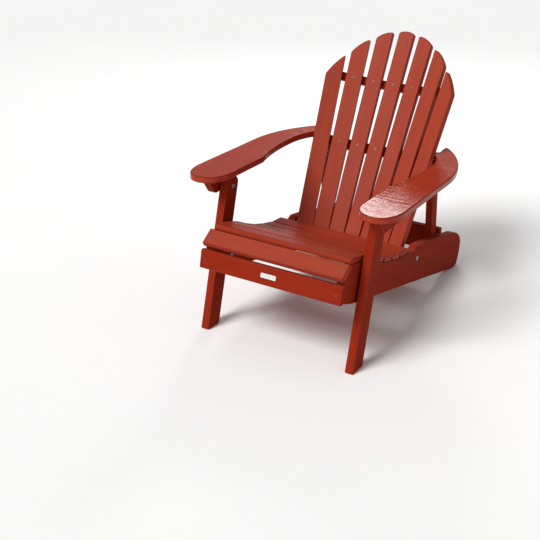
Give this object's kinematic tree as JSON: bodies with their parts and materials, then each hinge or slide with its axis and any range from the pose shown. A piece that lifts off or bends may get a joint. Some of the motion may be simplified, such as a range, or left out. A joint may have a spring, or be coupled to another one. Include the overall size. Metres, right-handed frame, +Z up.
{
  "type": "folding adirondack chair",
  "caption": "Folding, reclining adirondack chair with a fan-shaped slatted back on a hollow curve, a dished slatted seat, broad shaped arms, splayed front legs and a rear prop.",
  "frame": {"origin": "centre of the bounding box, on the ground under the feet", "axes": "+Z up, the sitter faces -Y, +X is to the right seen from the front"},
  "size_m": [0.756, 0.9784, 0.8605],
  "materials": {
    "frame_lumber": "satin rust-red poly lumber with fine moulded grain",
    "back_lumber": "satin rust-red poly lumber with fine moulded grain",
    "arm_lumber": "satin rust-red poly lumber with a slight gloss on the broad top",
    "hardware": "plain stainless steel",
    "name_plate": "satin, blank"
  },
  "bodies": {
    "seat_frame": {"rail_left": "frame_lumber", "rail_right": "frame_lumber", "seat_slat_1": "frame_lumber", "seat_slat_2": "frame_lumber", "seat_slat_3": "frame_lumber", "seat_slat_4": "frame_lumber", "seat_slat_5": "frame_lumber", "seat_slat_6": "frame_lumber", "seat_slat_7": "frame_lumber", "nose_slat": "frame_lumber", "apron": "frame_lumber", "name_plate": "name_plate", "leg_bolt_left": "hardware", "leg_bolt_right": "hardware", "leg_spacer_left": "hardware", "leg_spacer_right": "hardware"},
    "back": {"back_slat_1": "back_lumber", "back_slat_2": "back_lumber", "back_slat_3": "back_lumber", "back_slat_4": "back_lumber", "back_slat_5": "back_lumber", "back_slat_6": "back_lumber", "back_slat_7": "back_lumber", "top_bar": "frame_lumber", "middle_bar": "frame_lumber", "bottom_bar": "frame_lumber", "back_bolt_left": "hardware", "back_bolt_right": "hardware", "prop_bolt_left": "hardware", "prop_bolt_right": "hardware", "prop_spacer_left": "hardware", "prop_spacer_right": "hardware"},
    "front_legs": {"leg_left": "frame_lumber", "leg_right": "frame_lumber", "arm_bolt_left": "hardware", "arm_bolt_right": "hardware", "arm_spacer_left": "hardware", "arm_spacer_right": "hardware"},
    "arms": {"arm_left": "arm_lumber", "arm_right": "arm_lumber", "arm_bracket_front_left": "frame_lumber", "arm_bracket_front_right": "frame_lumber", "arm_bracket_rear_left": "frame_lumber", "arm_bracket_rear_right": "frame_lumber"},
    "prop": {"prop_post_left": "frame_lumber", "prop_post_right": "frame_lumber", "prop_crossboard": "frame_lumber"}
  },
  "joints": [
    {"name": "recline", "type": "hinge", "parent": "seat_frame", "child": "back", "pos_m": [0, 0.0832, 0.183], "axis": [1, 0, 0], "range_deg": [-50, 6]},
    {"name": "leg_swing", "type": "hinge", "parent": "seat_frame", "child": "front_legs", "pos_m": [0, -0.3458, 0.256], "axis": [1, 0, 0], "range_deg": [-63, 8]},
    {"name": "arm_swing", "type": "hinge", "parent": "front_legs", "child": "arms", "pos_m": [0, -0.2838, 0.468], "axis": [1, 0, 0], "range_deg": [-7, 55]},
    {"name": "prop_swing", "type": "hinge", "parent": "back", "child": "prop", "pos_m": [0, 0.2722, 0.462], "axis": [1, 0, 0], "range_deg": [-13, 106]}
  ],
  "couplings": [
    {"joint": "leg_swing", "follows": "recline", "ratio": 1.235},
    {"joint": "arm_swing", "follows": "recline", "ratio": -1.065},
    {"joint": "prop_swing", "follows": "recline", "ratio": -2.1}
  ]
}
